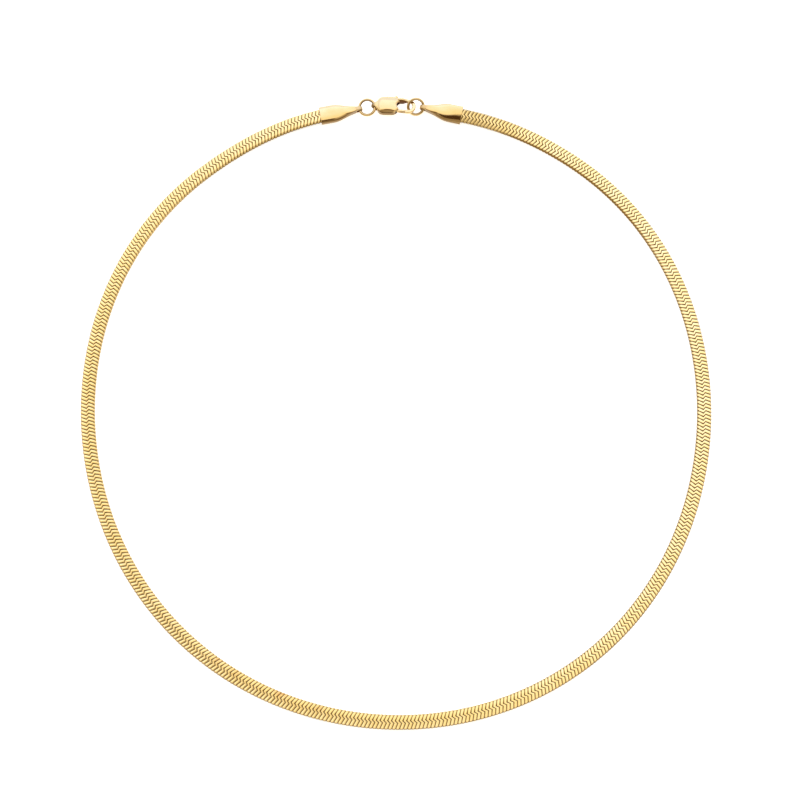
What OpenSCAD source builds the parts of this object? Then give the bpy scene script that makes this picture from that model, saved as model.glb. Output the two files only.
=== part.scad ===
// Flat snake chain necklace, lying closed in a loop on its back.
// Millimetres. Z is up, the clasp is on the +Y side, and the origin is the
// middle of the footprint, on the surface that the necklace lies on.
// Clock angles run from +Y towards +X, seen from above.

/* [Loop] */
// Mean radius of the chain's middle line
loop_r = 71.5; // [60:0.1:90]
// Sideways middle of the loop
loop_x = 0.09; // [-2:0.01:2]
// Front to back middle of the loop
loop_y = -0.81; // [-2:0.01:2]
// How oval the loop lies
oval = 0.6; // [0:0.05:2]
// Clock angle of the oval's long axis
oval_at = -6; // [-90:1:90]
// How egg-shaped the loop lies
egg = 0.3; // [0:0.05:1]
// Clock angle of the egg's blunt end
egg_at = 53; // [-60:1:60]
// How square the loop lies
squareness = 0.3; // [0:0.05:1]
// Clock angle of one corner of the square
corner_at = -44; // [-45:1:45]

/* [Chain] */
// Width of the flat chain
chain_w = 3.35; // [2.5:0.05:3.4]
// Thickness of the flat chain
chain_t = 1.2; // [0.8:0.05:1.3]
// Turn of the loop over which an end rises and swings out to its cap
end_turn = 24; // [10:1:40]
// How far the left end swings out of the loop
left_out = 0.65; // [-0.5:0.05:1]
// How far the right end swings out of the loop
right_out = 0.2; // [-0.5:0.05:1]

/* [End caps] */
// Length of an end cap, mouth to tip
cap_len = 10.2; // [9:0.1:12]
// Width of a cap at its mouth
cap_w = 4.3; // [3.9:0.1:4.5]
// Thickness of a cap
cap_t = 2.0; // [1.9:0.1:2.6]
// Full-width length of a cap
cap_straight = 3; // [2.8:0.1:5]
// Edge rounding of a cap
cap_edge = 0.8; // [0.3:0.05:0.9]
// Depth of the pocket that holds the chain
pocket_depth = 3.5; // [2:0.1:3.6]
// Edge rounding of the pocket
pocket_edge = 0.45; // [0.2:0.05:0.5]
// Gap between the chain and the pocket
pocket_gap = 0.05; // [0.03:0.01:0.1]
// Width of the looped tip
tip_w = 0.95; // [0.9:0.05:1.4]
// Thickness of the looped tip
tip_t = 1.75; // [1.5:0.05:1.9]
// Bore across the looped tip, for the jump ring
tip_bore = 1.35; // [0.9:0.05:1.4]
// Clock angle of the left cap's mouth
left_mouth_at = -14.5; // [-16:0.1:-13]
// Clock angle of the right cap's mouth
right_mouth_at = 12.4; // [11:0.1:14]
// Heading of the left cap, turned up from +X
left_heading = 11; // [8:0.5:14]
// Heading of the right cap, turned up from -X
right_heading = 12.5; // [10:0.5:16]

/* [Jump rings] */
// Outside diameter of a jump ring
ring_od = 4.4; // [4.2:0.1:4.6]
// Wire diameter of a jump ring
ring_wire = 0.64; // [0.5:0.02:0.7]
// Left ring's middle, sideways
left_ring_x = -6.89; // [-7.5:0.01:-6]
// Left ring's middle, front to back
left_ring_y = 71.32; // [70.5:0.01:72]
// Left ring's middle, height
left_ring_z = 1.23; // [1:0.01:1.5]
// Tilt of the left ring, its near edge down
left_ring_tilt = 8; // [4:1:20]
// Slope of the left ring, its right edge up
left_ring_slope = 6; // [0:1:8]
// Right ring's middle, sideways
right_ring_x = 4.66; // [4:0.01:5.5]
// Right ring's middle, front to back
right_ring_y = 71.46; // [70.5:0.01:72]
// Right ring's middle, height
right_ring_z = 1.3; // [1:0.01:1.5]
// Tilt of the right ring, its near edge down
right_ring_tilt = 27; // [20:1:30]
// Slope of the right ring, its right edge down
right_ring_slope = 8; // [0:1:10]

/* [Clasp] */
// Middle of the shell, sideways
clasp_x = -2.02; // [-2.5:0.01:-1.5]
// Middle of the shell, front to back
clasp_y = 71.56; // [71:0.01:72]
// Middle of the shell, height
clasp_z = 1.48; // [1.3:0.01:1.6]
// Clasp's roll, its gate side raised
clasp_roll = 9; // [0:1:12]
// Clasp's heading, turned down from +X
clasp_heading = 1.6; // [0:0.1:3]
// Width of the shell
shell_w = 4.5; // [4.3:0.05:4.8]
// Thickness of the shell at its belly
shell_t = 2.5; // [2.2:0.1:2.6]
// Distance between the middles of the shell's round ends
shell_run = 1.6; // [1.4:0.1:2]
// Edge rounding of the shell
shell_edge = 0.8; // [0.5:0.1:1.1]
// Radius of the shell's bulge, along its length
belly_r = 9; // [8:0.5:12]
// Shell's middle to the tail's end
tail_len = 3.9; // [3.8:0.05:4.2]
// Width of the tail
tail_w = 0.9; // [0.8:0.05:1.2]
// Thickness of the tail
tail_t = 1.7; // [1.5:0.05:1.9]
// Bore across the tail, for the jump ring
tail_bore = 1.3; // [0.9:0.05:1.35]
// Shell's middle to the round back of the throat
throat_x = 2.1; // [1.9:0.05:2.3]
// Width of the throat inside the hook
throat_w = 2.1; // [2:0.02:2.2]
// Shell's middle to the middle of the hook's bend
bend_x = 4.78; // [4.4:0.01:4.9]
// Width of the hook's metal, seen from above
hook_w = 0.82; // [0.8:0.02:1]
// Thickness of the hook at its bend
hook_t = 0.72; // [0.7:0.02:1.1]
// Thickness of the hook where it leaves the shell
neck_t = 2.0; // [1.6:0.05:2.1]
// Shell's middle to where the hook starts to thin
neck_end = 3.4; // [2.1:0.1:3.8]
// Shell's middle to the lever's rivet, towards the hook
pivot_x = 0.9; // [0.8:0.05:1]
// Shell's middle to the lever's rivet, towards the spine
pivot_y = 0.3; // [0.2:0.05:0.4]
// Diameter of the lever's rivet
pin_d = 0.7; // [0.5:0.05:0.8]
// Thickness of the lever
lever_t = 0.9; // [0.8:0.05:1.2]
// Width of the lever's gate
gate_w = 0.62; // [0.5:0.02:0.7]
// Running gap round the lever
lever_gap = 0.1; // [0.05:0.01:0.12]
// Reach of the gate's end from the rivet
gate_reach = 3.66; // [3.35:0.01:3.8]

/* [Hidden] */
$fn = 48;
gold = "#e3b24a";
pale_gold = "#ecc568";
over = 1; // how far a cutter runs past what it cuts

// Smooth step from 0 to 1
function ease(u) = let(v = min(1, max(0, u))) v*v*(3 - 2*v);

// How near a clock angle is to an end of the chain: 1 at the cap, 0 past end_turn
function near_right(a) = 1 - ease((a - right_mouth_at)/end_turn);
function near_left(a) = 1 - ease((360 + left_mouth_at - a)/end_turn);

// Middle line of the loop at a clock angle from the right mouth's to the left's
function loop_radius(a) =
    loop_r + oval*cos(2*(a - oval_at)) + egg*cos(3*(a - egg_at)) + squareness*cos(4*(a - corner_at))
    + right_out*near_right(a) + left_out*near_left(a);
function loop_point(a, z) =
    [loop_x + loop_radius(a)*sin(a), loop_y + loop_radius(a)*cos(a), z];

// The chain lies on the surface and rises at its ends to the middle of the caps
cap_mid = cap_t/2;
function lift(a) = chain_t/2 + (cap_mid - chain_t/2)*max(near_right(a), near_left(a));

// Places of the caps' mouths and directions from mouth to tip
left_mouth = loop_point(360 + left_mouth_at, cap_mid);
right_mouth = loop_point(right_mouth_at, cap_mid);
left_way = [cos(left_heading), sin(left_heading), 0];
right_way = [-cos(right_heading), sin(right_heading), 0];

// The chain's route: out of the right cap, round the loop and into the left cap
loop_rings = 70;
mouth_step = 1.2; // turn between a mouth and the first ring outside it
pocket_seat = pocket_depth - 0.15;
first_at = right_mouth_at + mouth_step;
last_at = 360 + left_mouth_at - mouth_step;
route = concat(
    [right_mouth + right_way*pocket_seat, right_mouth],
    [for (i = [0:loop_rings]) let(a = first_at + (last_at - first_at)*i/loop_rings)
        loop_point(a, lift(a))],
    [left_mouth, left_mouth + left_way*pocket_seat]);

// Flat cross-section with rounded sides, as shares of the width and the thickness
band_section = [
    [0.5, 0.16], [0.46, 0.36], [0.36, 0.5], [-0.36, 0.5], [-0.46, 0.36], [-0.5, 0.16],
    [-0.5, -0.16], [-0.46, -0.36], [-0.36, -0.5], [0.36, -0.5], [0.46, -0.36], [0.5, -0.16]];

// Sweeps a cross-section along a path, upright and square to its direction in plan
module band(path, section, w, t) {
    n = len(section);
    last = len(path) - 1;
    points = [for (i = [0:last])
        let(way = path[min(i + 1, last)] - path[max(i - 1, 0)],
            out = [-way[1], way[0], 0]/norm([way[0], way[1]]))
        for (s = section) path[i] + out*s[0]*w + [0, 0, s[1]*t]];
    sides = [for (i = [0:last - 1], k = [0:n - 1]) let(j = (k + 1)%n)
        [i*n + k, i*n + j, (i + 1)*n + j, (i + 1)*n + k]];
    first_end = [for (k = [n - 1:-1:0]) k];
    last_end = [for (k = [0:n - 1]) last*n + k];
    polyhedron(points, concat(sides, [first_end, last_end]), convexity = 4);
}

module chain() {
    color(pale_gold) band(route, band_section, chain_w, chain_t);
}

// Rectangle with round corners, about the origin
module round_box(w, h, r) {
    square([w - 2*r, h], center = true);
    square([w, h - 2*r], center = true);
    for (sx = [-1, 1], sy = [-1, 1]) translate([sx*(w/2 - r), sy*(h/2 - r)]) circle(r = r);
}

// Lays an outline drawn across X, with its second axis up, along X
module along_x(length) {
    rotate([90, 0, 90]) linear_extrude(length) children();
}

// Outline of a cap along its length, from the size at the mouth to a round tip
module cap_outline(mouth, tip) {
    tip_x = cap_len - tip/2;
    function half(x) = (mouth + (tip - mouth)*ease((x - cap_straight)/(tip_x - cap_straight)))/2;
    stations = [0, for (i = [0:12]) cap_straight + (tip_x - cap_straight)*i/12];
    upper = [for (x = stations) [x, half(x)]];
    tip_arc = [for (turn = [75:-15:-75]) [tip_x + tip/2*cos(turn), tip/2*sin(turn)]];
    lower = [for (i = [len(stations) - 1:-1:0]) [stations[i], -half(stations[i])]];
    polygon(concat(upper, tip_arc, lower));
}

// One end cap, mouth at the origin and tip towards +X
module end_cap() {
    difference() {
        intersection() {
            linear_extrude(cap_t + over, center = true) cap_outline(cap_w, tip_w);
            rotate([90, 0, 0]) linear_extrude(cap_w + over, center = true) cap_outline(cap_t, tip_t);
            along_x(cap_len) round_box(cap_w, cap_t, cap_edge);
        }
        translate([-over, 0, 0]) along_x(pocket_depth + over)
            round_box(chain_w + 2*pocket_gap, chain_t + 2*pocket_gap, pocket_edge);
        translate([cap_len - tip_t/2, 0, 0]) rotate([90, 0, 0])
            cylinder(d = tip_bore, h = cap_w, center = true);
    }
}

module end_cap_left() {
    color(gold) translate(left_mouth) rotate([0, 0, left_heading]) end_cap();
}

module end_cap_right() {
    color(gold) translate(right_mouth) rotate([0, 0, 180 - right_heading]) end_cap();
}

module jump_ring() {
    rotate_extrude($fn = 96) translate([(ring_od - ring_wire)/2, 0]) circle(d = ring_wire);
}

module jump_ring_left() {
    color(gold) translate([left_ring_x, left_ring_y, left_ring_z])
        rotate([left_ring_tilt, -left_ring_slope, 0]) jump_ring();
}

module jump_ring_right() {
    color(gold) translate([right_ring_x, right_ring_y, right_ring_z])
        rotate([right_ring_tilt, right_ring_slope, 0]) jump_ring();
}

// The clasp's half widths, the hook's middle line, the lever's slot and the eye
shell_r = shell_w/2;
hook_mid_r = (throat_w + hook_w)/2;
hook_r = throat_w/2 + hook_w;
slot_t = lever_t + 2*lever_gap;
slot_x = -shell_run/4; // back of the slot
slot_front = throat_x + 0.45; // front of the slot on the spine's side
eye_x = -tail_len + tail_t/2;
// Front edge of the shell's plates where the gate comes out from between them
plate_edge = [[shell_run, -shell_r], [throat_x + 0.4, -throat_w/2 + 0.08]];
// The lever's hub, its gate's outer edge and its thumb nub
hub_r = 0.95;
gate_y = -throat_w/2 - 0.03 - gate_w;
root_x = pivot_x + 0.3; // back of the gate's root
nub_r = 0.4;
nub_y = shell_r + 0.25;
nub_front = throat_x + 0.33;

// Puts what is modelled in the clasp's own frame in its place: there X runs from
// the tail to the hook, +Y is the spine's side and -Y the gate's
module clasp_place() {
    translate([clasp_x, clasp_y, clasp_z]) rotate([-clasp_roll, 0, -clasp_heading]) children();
}

// Round end of the shell, with its edge rounded
module shell_end() {
    rotate_extrude($fn = 96) intersection() {
        round_box(shell_w, shell_t, shell_edge);
        translate([0, -shell_t]) square([shell_w, 2*shell_t]);
    }
}

// Tail from the shell to the eye of the jump ring
module tail() {
    intersection() {
        linear_extrude(shell_t, center = true)
            polygon([[-shell_run, -shell_w/3], [-shell_run, shell_w/3], [eye_x, tail_w/2],
                     [-tail_len, tail_w/2], [-tail_len, -tail_w/2], [eye_x, -tail_w/2]]);
        rotate([90, 0, 0]) linear_extrude(shell_w, center = true) {
            translate([eye_x, 0]) circle(d = tail_t);
            translate([eye_x, -tail_t/2]) square([-shell_run - eye_x, tail_t]);
        }
    }
}

// Outline of the shell's bulge, from the side
module shell_bulge() {
    intersection_for (side = [-1, 1])
        translate([0, side*(belly_r - shell_t/2)]) circle(r = belly_r, $fn = 192);
}

// Throat of the hook: a slot with round ends
module throat() {
    back_x = throat_x + throat_w/2;
    for (x = [back_x, bend_x]) translate([x, 0]) circle(d = throat_w, $fn = 96);
    translate([back_x, -throat_w/2]) square([bend_x - back_x, throat_w]);
}

// Part of the plan beyond the gate's end, seen from the rivet
module beyond_gate(reach) {
    difference() {
        translate([bend_x - 2*hook_w, -2*hook_r]) square([2*hook_w, 2*hook_r]);
        translate([pivot_x, pivot_y]) circle(r = reach, $fn = 96);
    }
}

module shell() {
    difference() {
        union() {
            intersection() {
                union() {
                    for (side = [-1, 1]) translate([side*shell_run/2, 0, 0]) shell_end();
                    translate([-shell_run/2, 0, 0]) along_x(shell_run)
                        round_box(shell_w, shell_t, shell_edge);
                }
                rotate([90, 0, 0]) linear_extrude(2*shell_w, center = true) shell_bulge();
            }
            tail();
        }
        linear_extrude(2*shell_t, center = true) {
            throat();
            polygon([plate_edge[0], plate_edge[1], [bend_x, 0], [bend_x, -shell_w]]);
            translate([throat_x + throat_w/2, 0]) square(shell_w);
        }
    }
}

// Spine from the shell to the hook, thinning towards the bend
module spine() {
    start_x = shell_run/2 + over/2;
    function half(x) = (neck_t + (hook_t - neck_t)*ease((x - neck_end)/(bend_x - neck_end)))/2;
    stations = [start_x, for (i = [0:8]) neck_end + (bend_x - neck_end)*i/8];
    upper = [for (x = stations) [x, half(x)]];
    lower = [for (i = [len(stations) - 1:-1:0]) [stations[i], -half(stations[i])]];
    intersection() {
        translate([0, hook_r, 0]) rotate([90, 0, 0]) linear_extrude(hook_w)
            polygon(concat(upper, lower));
        translate([start_x, hook_mid_r, 0]) along_x(bend_x) round_box(hook_w, neck_t, hook_w/3);
    }
}

// Bend of the hook and the short arm that the gate meets
module hook() {
    translate([bend_x, 0, 0]) rotate([0, 0, -90]) rotate_extrude(angle = 180, $fn = 96)
        translate([hook_mid_r, 0]) round_box(hook_w, hook_t, hook_w/3);
    intersection() {
        translate([bend_x - 2*hook_w, -hook_mid_r, 0]) along_x(2*hook_w)
            round_box(hook_w, hook_t, hook_w/3);
        linear_extrude(shell_t, center = true) beyond_gate(gate_reach + lever_gap);
    }
}

// Room for the lever between the shell's plates. It opens on the nub's side, and on the
// gate's side only in front of the gate's root.
module lever_slot() {
    gate_wall = gate_y - lever_gap;
    linear_extrude(slot_t, center = true) {
        translate([slot_x, gate_wall]) square([slot_front - slot_x, shell_w - gate_wall]);
        translate([slot_x, gate_wall]) square([bend_x - slot_x - 2*hook_w, throat_w/2 - gate_wall]);
        translate([root_x - lever_gap, -shell_w])
            square([bend_x - root_x - 2*hook_w + lever_gap, shell_w]);
    }
}

module clasp_body() {
    color(gold) clasp_place() difference() {
        union() {
            shell();
            spine();
            hook();
        }
        lever_slot();
        translate([pivot_x, pivot_y, 0]) cylinder(d = pin_d + lever_gap, h = 2*shell_t, center = true);
        translate([eye_x, 0, 0]) rotate([90, 0, 0]) cylinder(d = tail_bore, h = shell_w, center = true);
    }
}

// Flat piece as thick as the lever
module lever_plate() {
    linear_extrude(lever_t, center = true) children();
}

// The lever: hub, root of the gate, gate, stem of the nub and nub
module lever() {
    lever_plate() translate([pivot_x, pivot_y]) circle(r = hub_r);
    lever_plate() polygon([
        [pivot_x - 0.7, pivot_y - 0.5], [pivot_x + 0.7, pivot_y + 0.3],
        [throat_x + 0.35, gate_y + gate_w], [throat_x, gate_y], [root_x, gate_y]]);
    lever_plate() intersection() {
        translate([throat_x - 0.5, gate_y]) square([gate_reach, gate_w]);
        translate([pivot_x, pivot_y]) circle(r = gate_reach, $fn = 96);
    }
    lever_plate() polygon([
        [pivot_x - 0.1, pivot_y + 0.8], [throat_x + 0.15, pivot_y + 0.8],
        [nub_front, nub_y - 0.13], [throat_x, nub_y + 0.35], [pivot_x + 0.15, nub_y - 0.35]]);
    lever_plate() translate([throat_x, nub_y]) circle(r = nub_r);
}

module clasp_lever() {
    color(pale_gold) clasp_place() difference() {
        lever();
        translate([pivot_x, pivot_y, 0]) cylinder(d = pin_d + lever_gap, h = shell_t, center = true);
    }
}

module clasp_pin() {
    color(gold) clasp_place() translate([pivot_x, pivot_y, 0])
        cylinder(d = pin_d, h = shell_t - 0.15, center = true);
}

chain();
end_cap_left();
end_cap_right();
jump_ring_left();
jump_ring_right();
clasp_body();
clasp_lever();
clasp_pin();
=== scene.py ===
"""Flat snake chain necklace lying closed in a loop, with end caps, jump rings and a lobster clasp."""
import math

import bpy
import numpy as np
from bpy.props import FloatProperty, FloatVectorProperty, PointerProperty
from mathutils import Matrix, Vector


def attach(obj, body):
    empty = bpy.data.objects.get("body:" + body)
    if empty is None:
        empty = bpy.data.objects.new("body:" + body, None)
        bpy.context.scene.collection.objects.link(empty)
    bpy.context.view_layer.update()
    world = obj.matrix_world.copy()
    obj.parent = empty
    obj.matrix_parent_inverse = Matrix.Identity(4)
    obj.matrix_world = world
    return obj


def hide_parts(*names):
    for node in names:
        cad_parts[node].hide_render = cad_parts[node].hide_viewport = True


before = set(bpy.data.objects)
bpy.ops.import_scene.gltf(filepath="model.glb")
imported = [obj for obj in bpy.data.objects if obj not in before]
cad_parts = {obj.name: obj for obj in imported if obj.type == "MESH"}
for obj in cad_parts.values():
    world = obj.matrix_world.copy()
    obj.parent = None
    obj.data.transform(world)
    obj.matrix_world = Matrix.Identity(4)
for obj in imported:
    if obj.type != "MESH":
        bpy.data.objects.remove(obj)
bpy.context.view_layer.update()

bl_info = {
    "name": "Flat snake chain necklace",
    "version": (1, 0, 0),
    "blender": (4, 5, 0),
    "location": "View3D > Sidebar > Necklace",
    "description": "Builds the links, end caps, jump rings and clasp of a flat snake chain necklace",
    "category": "Mesh",
}

ROOT_BODY = "necklace"
LEVER_BODY = "lever"
UP = np.array([0.0, 0.0, 1.0])

# Points round a ring, its wire, a cap or tip, the hook's bar, the lever's bars and its hub
RING_POINTS, WIRE_POINTS, CAP_POINTS, HOOK_POINTS, LEVER_POINTS, HUB_POINTS = 96, 20, 72, 40, 32, 48
# Stations along the chain's middle line and its seat in a cap, and from a cap's rim to its tip
LINE_STEPS, SEAT_STEPS, CAP_STEPS = 6000, 40, 46
# Points across an eyelet's outside and through its bore
EYE_OVER, EYE_THROUGH = 17, 5
# Stations along the spine, the hook's bend and its arm, and along one bar of the lever
SPINE_STEPS, BEND_STEPS, ARM_STEPS, LEVER_STEPS = 22, 40, 5, 26
# Power of a section's outline, where 2 is an ellipse, of the hook, the lever and the caps' pocket
HOOK_POWER, LEVER_POWER, POCKET_POWER = 3.4, 4.0, 4.0
# Rounded end of a bar: its reach as a share of the smaller half size, its steps on a quarter circle
END_REACH, END_STEPS = 0.35, np.radians([35.0, 65.0, 85.0])
# Small lengths: a hair, the gap between the gate and the throat, and the lips round the slot
HAIR, GATE_GAP, LIP = 0.00004, 0.00003, 0.00006
# Share of its height by which a tip or tail ends under the skin that it grows from
TUCK = 0.02
# Share of its thickness that a cap loses for each degree of roll, so that it stays on the surface
ROLL_THINNING = 0.0145
# How much flatter than its mouth a cap's tip is, and the half height of its upright side at the mouth
TIP_FLATTER, MOUTH_SIDE = 1.9, 0.00025
# Length over which the clasp's shell eases into its tail
TAIL_RUN = 0.0014
# Front corner of the clasp's shell on its gate side: its width and how far it falls back
CORNER, CORNER_FALL = 0.0006, 0.0005
# Shell's middle to its front end where the spine leaves it, and the hook's start past the throat's back
SPINE_ROOT, HOOK_START = 0.0028, 0.0004
# Widths of the lever's gate bar and of its nub at the rivet, of the nub's end, and the hub's radius
GATE_ROOT, NUB_ROOT, NUB_END, HUB_RADIUS = 0.0012, 0.0011, 0.0007, 0.00095
# Noise scales: clouds on the plate and on the links, scratches, tarnished specks and the links' grain
PLATE_CLOUDS, LINK_CLOUDS, SCRATCHES, SPECKS, GRAIN = 260.0, 90.0, 1500.0, 1400.0, 5200.0
# Depth of the finest marks in the metal
MARK_DEPTH = 0.00002
# Reach of the floor, and place and size of the soft light
FLOOR_REACH, KEY_AT, KEY_SIZE = 4.0, (0.1, 0.45, 0.85), 1.1


# Settings

def length(name, description, default):
    """A size in metres."""
    return FloatProperty(name=name, description=description, default=default, unit="LENGTH",
                         precision=5, step=0.001)


def angle(name, description, degrees):
    """An angle, given here in degrees and kept in radians."""
    return FloatProperty(name=name, description=description, default=math.radians(degrees),
                         subtype="ANGLE", unit="ROTATION")


def colour(name, description, default, top=1.0):
    """A linear colour."""
    return FloatVectorProperty(name=name, description=description, default=default, size=3,
                               subtype="COLOR", min=0.0, max=top)


def share(name, description, default, top=1.0):
    """A plain number from 0 to top."""
    return FloatProperty(name=name, description=description, default=default, min=0.0, max=top,
                         subtype="FACTOR")


def spot(name, description, default):
    """A point in metres."""
    return FloatVectorProperty(name=name, description=description, default=default, size=3,
                               subtype="TRANSLATION", unit="LENGTH", precision=5)


def flatness(description, default):
    """The power of a rounded top, 2 for an ellipse."""
    return FloatProperty(name="Crown", description=description, default=default, min=1.5, max=6.0)


class NecklaceLoop(bpy.types.PropertyGroup):
    """How the closed necklace lies on its surface"""
    radius: length("Radius", "Mean radius of the chain's middle line", 0.0715)
    middle_x: length("Middle, sideways", "Sideways middle of the loop", 0.00009)
    middle_y: length("Middle, front to back", "Front to back middle of the loop", -0.00081)
    oval: length("Oval", "How oval the loop lies", 0.0006)
    oval_at: angle("Oval at", "Clock angle of the oval's long axis", -6)
    egg: length("Egg", "How egg-shaped the loop lies", 0.0003)
    egg_at: angle("Egg at", "Clock angle of the egg's blunt end", 53)
    squareness: length("Squareness", "How square the loop lies", 0.0003)
    corner_at: angle("Corner at", "Clock angle of one corner of the square", -44)
    end_turn: angle("End turn", "Turn over which an end rises and swings out to its cap", 24)
    left_out: length("Left end out", "How far the left end swings out of the loop", 0.00065)
    right_out: length("Right end out", "How far the right end swings out of the loop", 0.0002)
    left_mouth: angle("Left mouth at", "Clock angle of the left cap's mouth", -14.5)
    right_mouth: angle("Right mouth at", "Clock angle of the right cap's mouth", 12.4)
    left_heading: angle("Left heading", "Heading of the left cap, turned up from +X", 11)
    right_heading: angle("Right heading", "Heading of the right cap, turned up from -X", 12.5)


class NecklaceChain(bpy.types.PropertyGroup):
    """Sizes and colours of the flat snake chain"""
    width: length("Width", "Width of the flat chain", 0.00335)
    thickness: length("Thickness", "Thickness of the flat chain", 0.0012)
    pitch: length("Pitch", "Distance from one link to the next", 0.000843)
    wave: length("Wave", "How far a link's edge runs back and forth across the chain", 0.0006)
    groove: length("Groove", "Depth of the groove between two links", 0.00017)
    seat: length("Seat", "How far the chain's end goes into its cap", 0.00335)
    face: colour("Face", "Colour of the links' faces", (0.94, 0.75, 0.41))
    # painted shade: the olive brown laid deep between the links and along their sides
    groove_shade_colour: colour("Groove colour", "Colour deep between the links", (0.19, 0.105, 0.008))
    # colour of the tarnished spots, also laid as painted shade on the chain's inner side near the right
    # cap
    tarnish_and_shade: colour("Tarnish", "Colour of the tarnished spots", (0.42, 0.17, 0.04))
    roughness: share("Roughness", "Roughness of the links' faces", 0.24)


class NecklaceCaps(bpy.types.PropertyGroup):
    """Sizes and colour of the end caps"""
    length: length("Length", "Length of a cap, mouth to tip", 0.0102)
    width: length("Width", "Width of a cap at its mouth", 0.0043)
    thickness: length("Thickness", "Thickness of a cap", 0.002)
    straight: length("Straight", "Full-width length of a cap", 0.003)
    pocket: length("Pocket", "Depth of the pocket that holds the chain", 0.0035)
    gap: length("Gap", "Gap between the chain and the pocket", 0.00005)
    crown: flatness("How flat a cap's rounded top is, 2 for an ellipse", 2.1)
    left_roll: angle("Left roll", "How far the left cap rolls its inner side down", -2)
    right_roll: angle("Right roll", "How far the right cap rolls its inner side down", 14)
    tip_width: length("Tip width", "Width of the looped tip", 0.00095)
    tip_thickness: length("Tip thickness", "Thickness of the looped tip", 0.00175)
    bore: length("Bore", "Bore across the looped tip", 0.00135)
    metal: colour("Metal", "Colour of the polished caps, rings and clasp", (0.76, 0.58, 0.31))
    # painted shade: the dark brown laid on the lower and inner sides of the caps, rings and clasp
    painted_shade: colour("Recess", "Colour of the unpolished metal", (0.1, 0.038, 0.008))
    roughness: share("Roughness", "Roughness of the polished metal", 0.075)


class NecklaceRings(bpy.types.PropertyGroup):
    """Sizes and places of the jump rings"""
    outside: length("Outside diameter", "Outside diameter of a jump ring", 0.0044)
    wire: length("Wire", "Wire diameter of a jump ring", 0.00069)
    left_at: spot("Left ring", "Middle of the left ring", (-0.00689, 0.07132, 0.00123))
    left_tilt: angle("Left tilt", "Tilt of the left ring, its near edge down", 8)
    left_slope: angle("Left slope", "Slope of the left ring, its right edge down", -6)
    right_at: spot("Right ring", "Middle of the right ring", (0.00466, 0.07146, 0.0013))
    right_tilt: angle("Right tilt", "Tilt of the right ring, its near edge down", 27)
    right_slope: angle("Right slope", "Slope of the right ring, its right edge down", 8)


class NecklaceClasp(bpy.types.PropertyGroup):
    """Sizes and place of the lobster clasp"""
    at: spot("Place", "Middle of the shell", (-0.00202, 0.07156, 0.00148))
    roll: angle("Roll", "Clasp's roll, its gate side raised", 9)
    heading: angle("Heading", "Clasp's heading, turned down from +X", 1.6)
    shell_width: length("Shell width", "Width of the shell", 0.0045)
    shell_thickness: length("Shell thickness", "Thickness of the shell at its belly", 0.0025)
    shell_run: length("Shell run", "Distance between the middles of the shell's round ends", 0.0016)
    side: length("Side", "Half height of the shell's upright side", 0.0004)
    crown: flatness("How flat the shell's rounded top is, 2 for an ellipse", 2.2)
    belly: length("Belly", "Radius of the shell's bulge along its length", 0.009)
    bevel: length("Bevel", "Half height of the shell's sloping gate side at its foot", 0.0004)
    bevel_slope: angle("Bevel slope", "Slope of the shell's gate side", 42)
    tail: length("Tail", "Shell's middle to the tail's end", 0.0039)
    tail_width: length("Tail width", "Width of the tail", 0.0009)
    tail_thickness: length("Tail thickness", "Thickness of the tail", 0.0017)
    tail_bore: length("Tail bore", "Bore across the tail", 0.0013)
    throat_at: length("Throat", "Shell's middle to the round back of the throat", 0.0021)
    throat: length("Throat width", "Width of the throat inside the hook", 0.0021)
    bend_at: length("Bend", "Shell's middle to the middle of the hook's bend", 0.00478)
    hook: length("Hook width", "Width of the hook's metal, seen from above", 0.00082)
    hook_thickness: length("Hook thickness", "Thickness of the hook at its bend", 0.00072)
    neck_thickness: length("Neck thickness", "Thickness of the hook where it leaves the shell", 0.002)
    neck_end: length("Neck end", "Shell's middle to where the hook starts to thin", 0.0034)
    lever: length("Lever thickness", "Thickness of the lever", 0.0009)
    lever_gap: length("Lever gap", "Running gap round the lever", 0.0001)
    gate: length("Gate width", "Width of the lever's gate", 0.00062)
    gate_reach: length("Gate reach", "Reach of the gate's end from the rivet", 0.00366)
    pivot_x: length("Rivet, along", "Shell's middle to the rivet, towards the hook", 0.0009)
    pivot_y: length("Rivet, across", "Shell's middle to the rivet, towards the spine", 0.0003)


class NecklaceStage(bpy.types.PropertyGroup):
    """Floor, light and camera"""
    floor: colour("Floor", "Colour of the floor", (0.86, 0.86, 0.86))
    floor_glow: share("Floor glow", "Light that the pale floor gives off by itself", 0.7, 4.0)
    room_low: colour("Room low in front", "Light of the room low in front", (1.2, 1.12, 0.95), 4.0)
    room_front: colour("Room in front", "Light of the room high in front", (0.42, 0.32, 0.20), 4.0)
    room_over: colour("Room overhead", "Light of the room overhead", (1.13, 1.02, 0.75), 4.0)
    room_behind: colour("Room behind", "Light of the room high behind", (1.22, 1.22, 1.34), 4.0)
    room_far: colour("Room low behind", "Light of the room low behind", (1.25, 1.42, 1.9), 4.0)
    shade: colour("Opening", "Colour of the opening in the light", (0.09, 0.045, 0.015))
    shade_way: FloatVectorProperty(name="Shaded towards", size=3, subtype="DIRECTION",
                                   description="Direction of the opening in the light",
                                   default=(0.0, -0.292, 0.956))
    shade_reach: angle("Shaded reach", "Half angle of the opening in the light with its soft edge", 12)
    key: FloatProperty(name="Key light", description="Power of the soft light overhead",
                       default=1.3, min=0.0, unit="POWER")
    target: spot("Target", "Point at the middle of the picture", (0.00089, 0.000415, 0.0))
    distance: length("Camera distance", "Distance of the camera from its target", 0.45935)
    elevation: angle("Camera elevation", "Height of the camera over the horizon", 77)
    lens: FloatProperty(name="Lens", description="Focal length of the camera in millimetres",
                        default=90.0, min=1.0, subtype="DISTANCE_CAMERA")


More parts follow.
